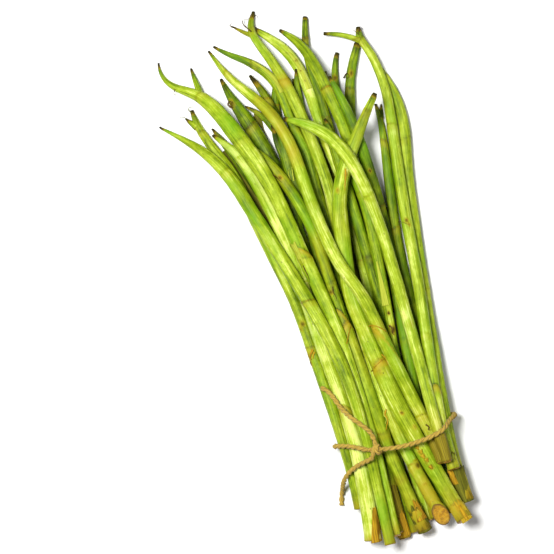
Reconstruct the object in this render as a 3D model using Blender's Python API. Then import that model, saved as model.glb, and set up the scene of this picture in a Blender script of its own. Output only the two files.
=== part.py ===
"""A bunch of taro stolons tied with jute twine, lying on a flat surface.

Metres, +Z up. The cut ends are at -Y and the growing tips at +Y, and +X is to the right
seen from above. The origin is the bottom centre of the bunch's box.

Each stolon is one grown piece, drawn in plan as a few (x, y, thickness) points. Its height
comes from a laying rule: the stolons are laid one after another, each resting under its own
weight on the floor and on the ones below it, as a slightly stiff stem does.
"""
import math

import bmesh
import bpy
import numpy as np

# Driving dimensions
BUNCH_LENGTH = 0.361        # from the lowest cut end to the highest tip, along Y
FAN_WIDTH = 0.156           # across the spread tips, along X
STOLON_THICKNESS = 0.009    # of a stolon that the table gives 9
TWINE_DIAMETER = 0.0034
KNOT_LENGTH = 0.0085        # along the twine
KNOT_WIDTH = 0.0072
KNOT_HEIGHT = 0.0060
CLEARANCE = 0.0003          # between any two pieces

# The tie, in the table's units: where it crosses the bunch and how it curves
TIE_TOP_DIP = 8.5
TIE_SIDE_Y = 5.5
TIE_UNDER_RISE = 2.0
KNOT_X = -13.0
TIE_BAND = (-8.0, 13.0)

# How finely the pieces are drawn
STEM_SIDES = 8
TWINE_SIDES = 8
RING_STEP = 0.0160
BEND_WORTH = 0.022          # a turn of one radian earns as many rings as this length does
FINE_STEP = 0.0028
TWINE_STEP = 0.0042

# The laying rule
SAG = 6000.0                # weight per length over bending stiffness, in 1/m3
TIE_PRESS = 10.0            # how much harder the tie presses than the weight does
CONTACT = 3e9               # stiffness of a contact, in the same terms
FINE_MARGIN = 0.00022       # covers the steps between the points where contact is tested

TABLE_THICKNESS = 9.0

GREENS = {
    "bright": (0.39, 0.55, 0.045, 1.0),
    "lime": (0.31, 0.47, 0.035, 1.0),
    "green": (0.21, 0.36, 0.025, 1.0),
    "deep": (0.11, 0.21, 0.015, 1.0),
}
TWINE_COLOUR = (0.50, 0.36, 0.20, 1.0)

# name, colour, (x, y, thickness) points from the cut end to the tip; the lowest is laid first
STOLONS = (
    ("stolon_dark_broad", "deep",
     ((-24, -57, 8), (-27, 0, 7.6), (-25, 60, 8), (-23, 120, 9), (-25, 170, 9.5), (-32, 205, 11),
      (-40, 230, 10), (-46, 247, 5), (-48, 257, 1.5))),
    ("stolon_kinked_centre", "green",
     ((-9, -66, 7.5), (-10, 0, 7.5), (-9, 70, 7), (-10, 130, 7), (-15, 190, 6.5), (-19, 222, 6),
      (-17, 236, 5.5), (-12, 250, 2))),
    ("stolon_mid_yellow", "bright",
     ((9, -59, 8), (7, 0, 7.6), (8, 50, 8), (10, 95, 8), (12, 145, 8), (13, 165, 8), (8, 200, 8),
      (5.5, 240, 8), (0, 261, 7.5), (-10, 275, 6), (-18, 283, 3.5))),
    ("stolon_under_right", "green",
     ((26, -50, 7.5), (24.2, 0, 7.5), (26, 70, 7.5), (28, 140, 7), (28, 190, 7), (31, 225, 6.5),
      (38, 244, 6), (45, 257, 4))),
    ("stolon_brown_tip", "deep",
     ((-13, -61, 7.5), (-18.5, -20, 7.5), (-18.6, 15, 7.5), (-17, 70, 7), (-16, 130, 7),
      (-18, 190, 7), (-20, 225, 6), (-24, 243, 5), (-29, 254, 1.5))),
    ("stolon_swept_left", "green",
     ((-1, -64, 7.5), (-1.5, 0, 7.5), (-1.5, 70, 7.5), (-3, 130, 7.5), (-8, 190, 7.5),
      (-11, 225, 7), (-14, 246, 7), (-26, 262, 5.5), (-40, 272, 3.5), (-47, 279, 1))),
    ("stolon_blunt_high", "green",
     ((18, -58, 7.5), (15.6, 0, 7.5), (15.5, 70, 7.5), (14, 140, 7.5), (12, 195, 7),
      (12, 225, 5.5), (10, 250, 5), (12, 268, 4.6), (16, 282, 3.5))),
    ("stolon_forked_right", "lime",
     ((33, -48, 6.8), (32.4, 0, 6.8), (34, 60, 6.5), (36, 120, 6.5), (40, 155, 6.5), (45, 190, 5),
      (46, 203, 3.5), (46, 215, 1.2))),
    ("stolon_long_right", "lime",
     ((13, -56, 6), (11.3, 0, 6), (15, 50, 5.6), (19, 95, 6), (22, 150, 7.2), (22, 193, 7.5),
      (16.5, 232, 7.5), (11, 258, 7), (5, 270, 5), (-2, 278, 2))),
    ("stolon_straight_right", "green",
     ((22, -57, 7), (19.8, 0, 7), (24, 60, 7), (30, 125, 7), (30, 170, 7), (27, 205, 6.5),
      (23, 228, 4.5), (20, 238, 1.5))),
    ("stolon_outer_left", "lime",
     ((-33, -38, 7), (-32, 0, 7.5), (-36, 70, 8), (-39, 105, 8), (-48, 150, 8), (-56, 193, 8),
      (-65, 214, 7.2), (-69.5, 230, 4.5), (-72, 242, 1.2))),
    ("stolon_left_bright", "bright",
     ((-30, -60, 10.5), (-26, -20, 9), (-25, 20, 8.5), (-29.5, 75, 9), (-33, 135, 9),
      (-39, 168, 9), (-45, 194, 8.5), (-53, 211, 5.5), (-63, 222, 1.5))),
    ("stolon_outer_right", "lime",
     ((35, -52, 10), (34, -25, 9), (37, 20, 8.5), (43, 75, 8.5), (48, 120, 8.5), (54, 165, 8),
      (60, 195, 7.5), (60.5, 215, 6.5), (56.5, 232, 4.5), (53, 243, 2))),
    ("stolon_twig_right", "lime",
     ((32.5, -28, 7), (32, 5, 7), (36, 45, 7.5), (42, 95, 7.5), (46, 145, 7.5), (51, 188, 7.2),
      (54.5, 220, 6.2), (52, 245, 5.6), (47, 260, 4.5), (48, 266, 1.5))),
    ("stolon_ringed_centre", "bright",
     ((19, -62, 9), (13, -40, 9), (6, -10, 8.5), (0, 30, 8.5), (-1.5, 85, 8), (0.5, 140, 8),
      (1.5, 175, 8), (-3, 215, 8), (-8.5, 245, 7.5), (-15, 264, 6.2), (-21, 281, 5),
      (-18, 291, 3.5), (-16, 294, 1.5))),
    ("stolon_broad_crossing", "lime",
     ((31, -62, 9.5), (25, -42, 10), (16, -10, 10), (7, 25, 10.8), (1, 65, 10.2), (-3, 98, 10),
      (0.5, 128, 10), (5, 158, 9.8), (13, 177, 9.2), (27, 196, 8), (38, 211, 5.2),
      (45, 219, 3.6))),
    ("stolon_sheathed_left", "lime",
     ((4.5, -63, 9), (-1, -32, 9), (-6, 5, 8.5), (-10, 60, 8), (-13, 105, 7.5), (-16, 147, 7.5),
      (-25, 180, 8), (-35, 200, 6.5), (-43, 211, 2.5))),
    ("stolon_long_centre", "lime",
     ((25.5, -21, 6), (24.4, -4, 7.4), (19, 20, 8.2), (11, 60, 8.4), (4, 96, 8.5), (-6, 122, 8.5),
      (-12, 160, 8.5), (-15, 200, 8.5), (-22, 225, 8), (-34, 244, 6.8), (-43, 257, 5),
      (-51, 277, 1.5))),
    ("stolon_big_left", "bright",
     ((-15, -61, 6.5), (-13, -15, 6), (-14, 35, 6.5), (-18, 85, 7.5), (-27, 138, 8.5),
      (-35, 182, 9.8), (-46, 214, 11), (-58, 241, 9), (-69, 253, 6.2), (-81, 261, 4),
      (-86, 270, 2.2), (-85, 278, 1.2))),
    ("stolon_front_left", "lime",
     ((-20, -64, 7.2), (-17.5, 0, 7.2), (-19, 45, 8.2), (-25, 80, 9), (-36, 120, 9),
      (-50, 165, 9), (-59, 193, 8.6), (-70, 212, 7), (-82, 225, 4), (-95, 237, 1.2))),
    ("stolon_bright_crossing", "bright",
     ((28.8, -21, 6.2), (28.3, 5, 7.4), (28.7, 60, 8), (28, 110, 8), (25.5, 147, 8), (20, 178, 8.6),
      (10, 200, 9), (-4, 213, 6.5), (-15, 219, 2))),
)

# a side shoot: name, the stolon that it grows from, and its points, the first inside that stolon
SHOOTS = (
    ("shoot_slim_inner", "stolon_kinked_centre",
     ((-14, 178, 5), (-19, 192, 5), (-22.5, 213, 4.5), (-28, 227, 3.5), (-37, 235, 1.5))),
    ("shoot_long_right", "stolon_long_right",
     ((22, 150, 5.5), (18, 172, 6), (13.5, 195, 4.8), (10.5, 213, 1.5))),
    ("shoot_dark_right", "stolon_under_right",
     ((28, 188, 6), (23.5, 212, 6), (23.5, 232, 5.2), (26, 245, 4.5), (30, 254, 2))),
    ("shoot_outer_left", "stolon_outer_left", ((-66.5, 217, 4.5), (-72, 229, 4), (-77, 238, 1.6))),
    ("shoot_big_left", "stolon_big_left", ((-60, 245, 5), (-64, 256, 4.2), (-65.3, 269, 1.6))),
    ("shoot_ringed_centre", "stolon_ringed_centre",
     ((-19.5, 277, 3.4), (-26, 283, 2.8), (-32, 289, 1))),
    ("shoot_pale_inner", "stolon_brown_tip",
     ((-18, 160, 5), (-22.5, 182, 5.6), (-23.5, 205, 4.6), (-23.5, 219, 1.4))),
    ("shoot_dark_left", "stolon_dark_broad",
     ((-25, 130, 6), (-32, 150, 7), (-42, 178, 7.5), (-50, 200, 7), (-57, 216, 5), (-62, 227, 1.5))),
    ("shoot_dark_inner", "stolon_swept_left",
     ((-6, 165, 5.5), (-3.5, 190, 7), (-2.5, 215, 6.5), (-2, 235, 5), (1, 250, 1.5))),
    ("shoot_dark_high", "stolon_under_right",
     ((28, 172, 5.5), (22, 196, 6.2), (19.5, 220, 5), (19, 243, 1.5))),
    ("shoot_twig_right", "stolon_twig_right",
     ((49.5, 254, 4), (42, 261, 4), (34, 265.5, 3.4), (25, 268, 2.4))),
    ("shoot_forked_right", "stolon_forked_right",
     ((44.6, 189, 3.4), (47.6, 202, 3), (49.5, 214, 1.2))),
)

# the free ends of the twine, from the knot outwards, in metres in the part's own frame
UPPER_TAIL = (
    (0.0026, -0.1115, 0.0356), (0.0024, -0.1080, 0.0346), (0.0016, -0.1045, 0.0348),
    (-0.0003, -0.1010, 0.0357), (-0.0024, -0.0985, 0.0361), (-0.0050, -0.0953, 0.0360),
    (-0.0077, -0.0923, 0.0343), (-0.0097, -0.0897, 0.0306), (-0.0113, -0.0870, 0.0266),
    (-0.0130, -0.0838, 0.0236), (-0.0146, -0.0797, 0.0222), (-0.0162, -0.0757, 0.0203),
    (-0.0184, -0.0721, 0.0180), (-0.0214, -0.0693, 0.0162),
)
LOWER_TAIL = (
    (-0.0018, -0.1203, 0.0348), (-0.0046, -0.1212, 0.0337), (-0.0076, -0.1220, 0.0314),
    (-0.0106, -0.1230, 0.0288), (-0.0135, -0.1241, 0.0267), (-0.0162, -0.1255, 0.0249),
    (-0.0188, -0.1273, 0.0225), (-0.0212, -0.1297, 0.0196), (-0.0230, -0.1324, 0.0155),
    (-0.0241, -0.1352, 0.0106), (-0.0251, -0.1382, 0.0058), (-0.0263, -0.1414, 0.0027),
    (-0.0275, -0.1450, 0.0018), (-0.0284, -0.1486, 0.0018),
)


def table_extent(axis):
    values = [point[axis] for row in STOLONS for point in row[2]]
    return max(values) - min(values)


ACROSS = FAN_WIDTH / table_extent(0)
ALONG = BUNCH_LENGTH / table_extent(1)
THICK = STOLON_THICKNESS / TABLE_THICKNESS


class Limb:
    """A stolon or a side shoot: its rings in plan, their radii and their heights."""

    def __init__(self, name, points, parent=None):
        self.name = name
        self.parent = parent
        step = RING_STEP / 2 if parent else RING_STEP
        rows = smooth_rows(np.array(points, float) * (ACROSS, ALONG, THICK / 2), step)
        self.plan = rows[:, :2]
        self.radii = rows[:, 2]
        self.weights = fine_weights(self.plan)
        self.fine_plan = self.weights @ self.plan
        self.fine_radii = self.weights @ self.radii
        self.heights = None

    def fine_heights(self):
        return self.weights @ self.heights

    def height_near(self, place):
        nearest = np.argmin(np.linalg.norm(self.fine_plan - place, axis=1))
        return self.fine_heights()[nearest]

    def rings(self):
        return np.column_stack([self.plan, self.heights])


def curve_point(before, start, end, after, t):
    """The point a share t of the way from start to end on a smooth curve through all four."""
    return 0.5 * (2 * start + (end - before) * t
                  + (2 * before - 5 * start + 4 * end - after) * t ** 2
                  + (3 * start - before - 3 * end + after) * t ** 3)


def smooth_rows(rows, step):
    """Rows spaced along a smooth curve through the given ones, closer together where it bends."""
    ends = np.vstack([2 * rows[0] - rows[1], rows, 2 * rows[-1] - rows[-2]])
    dense = []
    for before, start, end, after in zip(ends, ends[1:], ends[2:], ends[3:]):
        for t in np.arange(0, 1, 0.05):
            dense.append(curve_point(before, start, end, after, t))
    dense = np.array(dense + [rows[-1]])
    dense[:, 2] = np.maximum(dense[:, 2], rows[:, 2].min())
    runs = np.diff(dense[:, :2], axis=0)
    lengths = np.linalg.norm(runs, axis=1)
    angles = np.unwrap(np.arctan2(runs[:, 1], runs[:, 0]))
    worth = lengths + BEND_WORTH * np.append(np.abs(np.diff(angles)), 0)
    reached = np.append(0, np.cumsum(worth))
    count = max(4, round(reached[-1] / step) + 1)
    wanted = np.linspace(0, reached[-1], count)
    return np.column_stack([np.interp(wanted, reached, dense[:, k]) for k in range(3)])


def fine_weights(plan):
    """Shares of each ring in closely spaced points along the straight runs between rings."""
    rows = []
    for k, run in enumerate(np.linalg.norm(np.diff(plan, axis=0), axis=1)):
        parts = max(1, math.ceil(run / FINE_STEP))
        for share in np.arange(parts) / parts:
            row = np.zeros(len(plan))
            row[k], row[k + 1] = 1 - share, share
            rows.append(row)
    rows.append(np.eye(len(plan))[-1])
    return np.array(rows)


def in_tie_band(plan):
    y = plan[:, 1] / ALONG
    return (y > TIE_BAND[0]) & (y < TIE_BAND[1])


def floor_under(limb):
    """Height of a limb's middle when it lies on the floor, or on the twine where the tie passes."""
    return limb.fine_radii + np.where(in_tie_band(limb.fine_plan), TWINE_DIAMETER + CLEARANCE, 0)


def lowest_heights(limb, supports):
    """The lowest that each fine point may lie over the supports, (plan, height, radius) rows."""
    lowest = floor_under(limb)
    if len(supports):
        apart = np.linalg.norm(limb.fine_plan[:, None] - supports[None, :, :2], axis=2)
        reach = limb.fine_radii[:, None] + supports[None, :, 3] + CLEARANCE + FINE_MARGIN
        over = supports[None, :, 2] + np.sqrt(np.maximum(reach ** 2 - apart ** 2, 0))
        lowest = np.maximum(lowest, np.where(apart < reach, over, 0).max(axis=1))
    return lowest


def settle(limb, lowest):
    """Ring heights of a stiff stem that sags onto the heights in lowest."""
    count = len(limb.plan)
    step = float(np.linalg.norm(np.diff(limb.plan, axis=0), axis=1).mean())
    bending = np.diff(np.eye(count), 2, axis=0) / step ** 2
    stiffness = bending.T @ bending * step
    load = SAG * step * np.where(in_tie_band(limb.plan), TIE_PRESS, 1)
    share = CONTACT * step * count / len(lowest)
    fixed = np.zeros((count, count))
    pull = np.zeros(count)
    if limb.parent:
        fixed[0, 0] = CONTACT
        pull[0] = CONTACT * limb.parent.height_near(limb.plan[0])
    touching = np.ones(len(lowest), bool)
    for _ in range(60):
        contact = limb.weights[touching]
        system = stiffness + share * contact.T @ contact + fixed + 1e-3 * np.eye(count)
        heights = np.linalg.solve(system, share * contact.T @ lowest[touching] + pull - load)
        now = limb.weights @ heights < lowest
        if (now == touching).all():
            break
        touching = now
    short = max(0.0, float((lowest - limb.weights @ heights).max()))
    heights[1 if limb.parent else 0:] += short
    return heights


def samples(limb):
    return np.column_stack([limb.fine_plan, limb.fine_heights(), limb.fine_radii])


def supports_of(limb, laid):
    """Points of every limb laid so far, apart from the one that this limb grows from."""
    found = [samples(other) for other in laid if other is not limb.parent]
    return np.vstack(found) if found else np.zeros((0, 4))


def lay_bunch():
    """Every stolon, each followed by its side shoots, in the order of laying."""
    laid = []
    for name, _, points in STOLONS:
        stolon = Limb(name, points)
        shoots = [Limb(shoot, row, stolon) for shoot, parent, row in SHOOTS if parent == name]
        for limb in [stolon] + shoots:
            limb.heights = settle(limb, lowest_heights(limb, supports_of(limb, laid)))
            laid.append(limb)
    return laid


def tube(rings, radii, sides):
    """Vertices and faces of a closed tube with flat ends, through rings with the given radii."""
    rings = np.asarray(rings, float)
    forward = np.gradient(rings, axis=0)
    forward /= np.linalg.norm(forward, axis=1)[:, None]
    side = np.cross(forward[0], (0, 0, 1))
    turns = np.arange(sides) * 2 * math.pi / sides
    vertices = []
    for centre, ahead, radius in zip(rings, forward, radii):
        side = side - ahead * (side @ ahead)
        side /= np.linalg.norm(side)
        up = np.cross(side, ahead)
        vertices += [centre + radius * (math.cos(t) * side + math.sin(t) * up) for t in turns]
    faces = []
    for k in range(len(rings) - 1):
        for s in range(sides):
            near, far = k * sides + s, k * sides + (s + 1) % sides
            faces.append((near, far, far + sides, near + sides))
    last = (len(rings) - 1) * sides
    faces.append(tuple(range(sides)))
    faces.append(tuple(range(last, last + sides)))
    return np.array(vertices), faces


def add_piece(name, vertices, faces, material=None):
    """A smooth-shaded object whose origin is its first ring or vertex."""
    origin = vertices[0]
    mesh = bpy.data.meshes.new(name)
    mesh.from_pydata([tuple(v - origin) for v in vertices], [], faces)
    shaped = bmesh.new()
    shaped.from_mesh(mesh)
    bmesh.ops.recalc_face_normals(shaped, faces=shaped.faces)
    shaped.to_mesh(mesh)
    shaped.free()
    mesh.shade_smooth()
    mesh.set_sharp_from_angle(angle=math.radians(50))
    piece = bpy.data.objects.new(name, mesh)
    piece.location = origin
    bpy.context.collection.objects.link(piece)
    if material:
        mesh.materials.append(material)
    return piece


def skin(name, colour, roughness):
    material = bpy.data.materials.new(name)
    material.use_nodes = True
    shader = material.node_tree.nodes["Principled BSDF"]
    shader.inputs["Base Color"].default_value = colour
    shader.inputs["Roughness"].default_value = roughness
    shader.inputs["Metallic"].default_value = 0.0
    return material


def join_shoot(parent, shoot):
    shoot.hide_render = True
    shoot.display_type = "WIRE"
    union = parent.modifiers.new(shoot.name, "BOOLEAN")
    union.operation = "UNION"
    union.solver = "EXACT"
    union.object = shoot


def convex_outline(points):
    """Corners of the convex outline around 2-D points, anticlockwise."""
    ordered = sorted(map(tuple, points))
    halves = []
    for run in (ordered, ordered[::-1]):
        half = []
        for p in run:
            while len(half) > 1:
                a, b = half[-2], half[-1]
                if (b[0] - a[0]) * (p[1] - a[1]) - (b[1] - a[1]) * (p[0] - a[0]) > 0:
                    break
                half.pop()
            half.append(p)
        halves.append(half[:-1])
    return np.array(halves[0] + halves[1])


def evenly(points, step):
    reached = np.append(0, np.cumsum(np.linalg.norm(np.diff(points, axis=0), axis=1)))
    wanted = np.linspace(0, reached[-1], round(reached[-1] / step) + 1)
    return np.column_stack([np.interp(wanted, reached, points[:, k]) for k in range(points.shape[1])])


def tie_route(limbs):
    """The twine's route round the bunch, clear of the knot, as points of its middle line.

    In each cross-section the twine follows the convex outline of the stolons it holds.
    """
    held = np.vstack([samples(limb) for limb in limbs])
    held = held[in_tie_band(held)]
    turns = np.linspace(0, 2 * math.pi, 32, endpoint=False)
    around = np.column_stack([np.cos(turns), np.sin(turns)])
    reach = held[:, 3] + CLEARANCE + FINE_MARGIN + TWINE_DIAMETER / 2
    outline = convex_outline((held[:, None, [0, 2]] + reach[:, None, None] * around).reshape(-1, 2))
    knot_x = KNOT_X * ACROSS
    start = np.array([knot_x, height_over(outline, knot_x)])
    behind = np.argmin(np.linalg.norm(outline - start, axis=1))
    turned = np.roll(outline, -behind, axis=0)[::-1]
    loop = evenly(np.vstack([start, turned, start]), TWINE_STEP / 4)
    apart = np.linalg.norm(loop - start, axis=1)
    loop = evenly(loop[apart >= KNOT_LENGTH / 2 + CLEARANCE], TWINE_STEP)
    middle, half = loop.mean(axis=0), np.ptp(loop, axis=0) / 2
    across, rise = ((loop - middle) / half).T
    bow = 1 - across ** 2
    y = TIE_SIDE_Y + bow * np.where(rise > 0, -TIE_TOP_DIP * rise, -TIE_UNDER_RISE * rise)
    knot_y = np.array([y[0], y[-1]]).mean() * ALONG
    return np.column_stack([loop[:, 0], y * ALONG, loop[:, 1]]), np.array([start[0], knot_y, start[1]])


def height_over(outline, x):
    """Height of the upper side of a closed convex outline at x."""
    heights = []
    for a, b in zip(outline, np.roll(outline, -1, axis=0)):
        if min(a[0], b[0]) <= x <= max(a[0], b[0]) and a[0] != b[0]:
            heights.append(a[1] + (b[1] - a[1]) * (x - a[0]) / (b[0] - a[0]))
    return max(heights)


def add_knot(centre, material):
    """A rounded lump that stands on the stolons, in line with the twine."""
    bpy.ops.mesh.primitive_uv_sphere_add(segments=12, ring_count=8, radius=0.5)
    knot = bpy.context.object
    knot.name = "twine_knot"
    lift = KNOT_HEIGHT / 2 - TWINE_DIAMETER / 2
    for vertex in knot.data.vertices:
        vertex.co.x *= KNOT_LENGTH
        vertex.co.y *= KNOT_WIDTH
        vertex.co.z *= KNOT_HEIGHT
    knot.location = (centre[0], centre[1], centre[2] + lift)
    knot.data.materials.append(material)
    knot.data.shade_smooth()
    return knot


def add_tail(name, points, material):
    """A free end of the twine, a round cord along a smooth curve through its points."""
    route = smooth_route(np.array(points), TWINE_DIAMETER * 2)
    curve = bpy.data.curves.new(name, "CURVE")
    curve.dimensions = "3D"
    curve.bevel_depth = TWINE_DIAMETER / 2
    curve.bevel_resolution = 2
    curve.use_fill_caps = True
    spline = curve.splines.new("POLY")
    spline.points.add(len(route) - 1)
    for point, place in zip(spline.points, route):
        point.co = (*place, 1)
    tail = bpy.data.objects.new(name, curve)
    bpy.context.collection.objects.link(tail)
    curve.materials.append(material)
    return tail


def smooth_route(points, step):
    ends = np.vstack([2 * points[0] - points[1], points, 2 * points[-1] - points[-2]])
    dense = []
    for before, start, end, after in zip(ends, ends[1:], ends[2:], ends[3:]):
        for t in np.arange(0, 1, 0.1):
            dense.append(curve_point(before, start, end, after, t))
    return evenly(np.array(dense + [points[-1]]), step)


def corners(pieces):
    """Lowest and highest corners of the evaluated pieces, in world space."""
    view = bpy.context.evaluated_depsgraph_get()
    places = []
    for piece in pieces:
        shown = piece.evaluated_get(view)
        mesh = shown.to_mesh()
        flat = np.empty(len(mesh.vertices) * 3)
        mesh.vertices.foreach_get("co", flat)
        places.append(flat.reshape(-1, 3) + np.array(piece.location))
        shown.to_mesh_clear()
    places = np.vstack(places)
    return places.min(axis=0), places.max(axis=0)


def main():
    for old in list(bpy.data.objects):
        bpy.data.objects.remove(old, do_unlink=True)
    limbs = lay_bunch()
    colours = {name: colour for name, colour, _ in STOLONS}
    materials = {name: skin("stolon_" + name, colour, 0.42) for name, colour in GREENS.items()}
    jute = skin("jute_twine", TWINE_COLOUR, 0.9)
    pieces = {}
    for limb in limbs:
        vertices, faces = tube(limb.rings(), limb.radii, STEM_SIDES)
        material = materials[colours[limb.parent.name if limb.parent else limb.name]]
        pieces[limb.name] = add_piece(limb.name, vertices, faces, material)
        if limb.parent:
            join_shoot(pieces[limb.parent.name], pieces[limb.name])
    route, knot_place = tie_route(limbs)
    vertices, faces = tube(route, np.full(len(route), TWINE_DIAMETER / 2), TWINE_SIDES)
    pieces["twine_loop"] = add_piece("twine_loop", vertices, faces, jute)
    pieces["twine_knot"] = add_knot(knot_place, jute)
    bpy.context.view_layer.update()
    shown = [piece for piece in pieces.values() if not piece.hide_render]
    low, high = corners(shown)
    for piece in pieces.values():
        piece.location.x -= (low[0] + high[0]) / 2
        piece.location.y -= (low[1] + high[1]) / 2
        piece.location.z -= low[2]
    for name, points in (("twine_tail_upper", UPPER_TAIL), ("twine_tail_lower", LOWER_TAIL)):
        if points:
            add_tail(name, points, jute)


main()
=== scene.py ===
"""The looks of a tied bunch of taro stolons that lies on a pale floor.

Each stolon's fine mesh follows the middle line and thickness of its CAD node, and carries its
growth details as geometry and as point attributes that the plant skin's material reads.
"""
import math

import bpy
import numpy as np
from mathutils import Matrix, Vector


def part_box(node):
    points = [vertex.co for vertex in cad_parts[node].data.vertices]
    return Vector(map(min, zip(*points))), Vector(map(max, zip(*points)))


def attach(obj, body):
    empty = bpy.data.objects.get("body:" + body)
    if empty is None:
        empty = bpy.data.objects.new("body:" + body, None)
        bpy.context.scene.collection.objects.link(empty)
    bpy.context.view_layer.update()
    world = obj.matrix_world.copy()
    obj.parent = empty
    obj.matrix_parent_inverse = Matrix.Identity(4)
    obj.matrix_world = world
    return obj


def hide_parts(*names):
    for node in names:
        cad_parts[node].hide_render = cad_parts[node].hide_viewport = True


MM = 0.001

# The view, in metres: straight down, with the stems leaning to the left in the picture
VIEW_CENTRE = (-0.0306, 0.0079)
VIEW_WIDTH = 0.3601
VIEW_ROLL = math.radians(15)
VIEW_HEIGHT = 1.25
VIEW_LEVEL = 0.020          # the height at which the view is VIEW_WIDTH wide
SENSOR_WIDTH = 36.0         # of the camera, in millimetres

# How a stem's or the twine's line is taken from its CAD node
SLICE_STEP = 0.003
TIP_ROWS = 4                # slices past a tip in which a tube may widen fast
TIP_MOST = 0.0032           # and the most that its radius may then be
OCTAGON_AREA = 2 * math.sqrt(2)   # of an octagon whose corners are 1 from its middle
SHOOT_STANDOFF = 0.0012           # beyond the stem's own skin, where a corner is a side shoot's
MOST_SLICES = 400
MOST_SHOOTS = 3

# How finely a stem is drawn
RING_STEP = 0.0011
STEM_SIDES = 24
FIBRE_RADIUS = 0.0042       # of the stem that the skin's pattern is scaled to
CAP_RINGS = ((0.86, 0.35), (0.55, 0.25), (0.22, 0.12))   # (share of the rim, bulge) of an end
CUT_BULGE = 0.25            # how much of that bulge a cut end has
CUT_ROUGHNESS = 0.00012
LOWEST = 0.0001             # nothing reaches below this height

# The twine
TWINE_DIAMETER = 0.0034
PLY_PITCH = 0.0085
PLY_SIDES = 8
PLY_RADIUS = 0.265 * TWINE_DIAMETER
PLY_OFFSET = 0.19 * TWINE_DIAMETER
HAIR_RADIUS = 0.00006
TWINE_STEP = 0.0006
TWINE_SLICE = 0.0010

# The free ends' routes, as in the CAD
UPPER_TAIL = (
    (0.0026, -0.1115, 0.0356), (0.0024, -0.1080, 0.0346), (0.0016, -0.1045, 0.0348),
    (-0.0003, -0.1010, 0.0357), (-0.0024, -0.0985, 0.0361), (-0.0050, -0.0953, 0.0360),
    (-0.0077, -0.0923, 0.0343), (-0.0097, -0.0897, 0.0306), (-0.0113, -0.0870, 0.0266),
    (-0.0130, -0.0838, 0.0236), (-0.0146, -0.0797, 0.0222), (-0.0162, -0.0757, 0.0203),
    (-0.0184, -0.0721, 0.0180), (-0.0214, -0.0693, 0.0162),
)
LOWER_TAIL = (
    (-0.0018, -0.1203, 0.0348), (-0.0046, -0.1212, 0.0337), (-0.0076, -0.1220, 0.0314),
    (-0.0106, -0.1230, 0.0288), (-0.0135, -0.1241, 0.0267), (-0.0162, -0.1255, 0.0249),
    (-0.0188, -0.1273, 0.0225), (-0.0212, -0.1297, 0.0196), (-0.0230, -0.1324, 0.0155),
    (-0.0241, -0.1352, 0.0106), (-0.0251, -0.1382, 0.0058), (-0.0263, -0.1414, 0.0027),
    (-0.0275, -0.1450, 0.0018), (-0.0284, -0.1486, 0.0018),
)

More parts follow.
